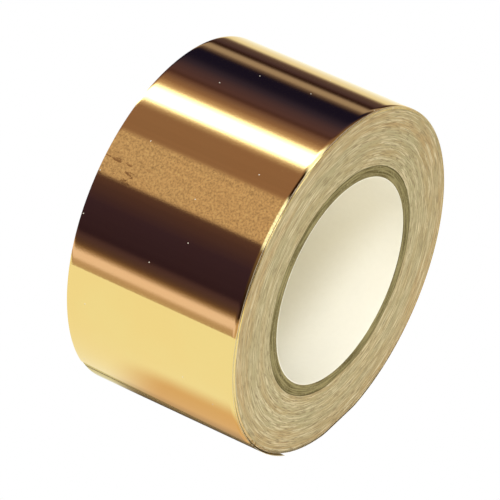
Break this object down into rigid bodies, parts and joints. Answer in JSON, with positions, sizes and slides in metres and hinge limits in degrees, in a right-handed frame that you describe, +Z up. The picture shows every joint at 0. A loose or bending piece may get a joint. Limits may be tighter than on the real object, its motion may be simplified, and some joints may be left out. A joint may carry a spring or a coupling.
{
  "type": "copper foil tape roll",
  "caption": "Roll of adhesive-backed copper foil tape on a paperboard core, standing on its rim with its loose end sprung off the roll and the end of the liner sticking out past the foil as a tab.",
  "frame": {"origin": "centre of the bore, halfway across the tape", "axes": "Y along the bore, with the side that faces the viewer at -Y; +Z up, away from the flat that the roll stands on; the loose end hangs down the -X side"},
  "size_m": [0.0936, 0.0508, 0.0929],
  "materials": {
    "copper_foil": "bright rolled copper foil, mirror-like with a fine rolling grain",
    "adhesive": "clear acrylic adhesive film",
    "release_paper": "cream release paper, smooth and slightly glossy",
    "tape_edges": "tan edges of tightly wound paper and foil, faint concentric lines",
    "paperboard": "olive-brown paperboard, cut edge",
    "lining_paper": "white lining paper, matt"
  },
  "bodies": {
    "roll": {"bore_lining": "lining_paper", "core_ply_1": "paperboard", "core_ply_2": "paperboard", "core_ply_3": "paperboard", "core_ply_4": "paperboard", "core_ply_5": "paperboard", "starter_strip": "adhesive", "packed_turns": "tape_edges", "outer_liner_turns": "release_paper", "outer_adhesive_turns": "adhesive", "outer_foil_turns": "copper_foil"},
    "tail": {"tail_liner": "release_paper", "tail_adhesive_held": "adhesive", "tail_foil_held": "copper_foil"},
    "tail_foil": {"tail_adhesive_free": "adhesive", "tail_foil_free": "copper_foil"}
  },
  "joints": [
    {"name": "tail_lift", "type": "hinge", "parent": "roll", "child": "tail", "pos_m": [-0.04516, 0, 0.0121], "axis": [0, 1, 0], "range_deg": [0, 75]},
    {"name": "foil_peel", "type": "hinge", "parent": "tail", "child": "tail_foil", "pos_m": [-0.04688, 0, 0.00058], "axis": [0, 1, 0], "range_deg": [0, 60]}
  ]
}
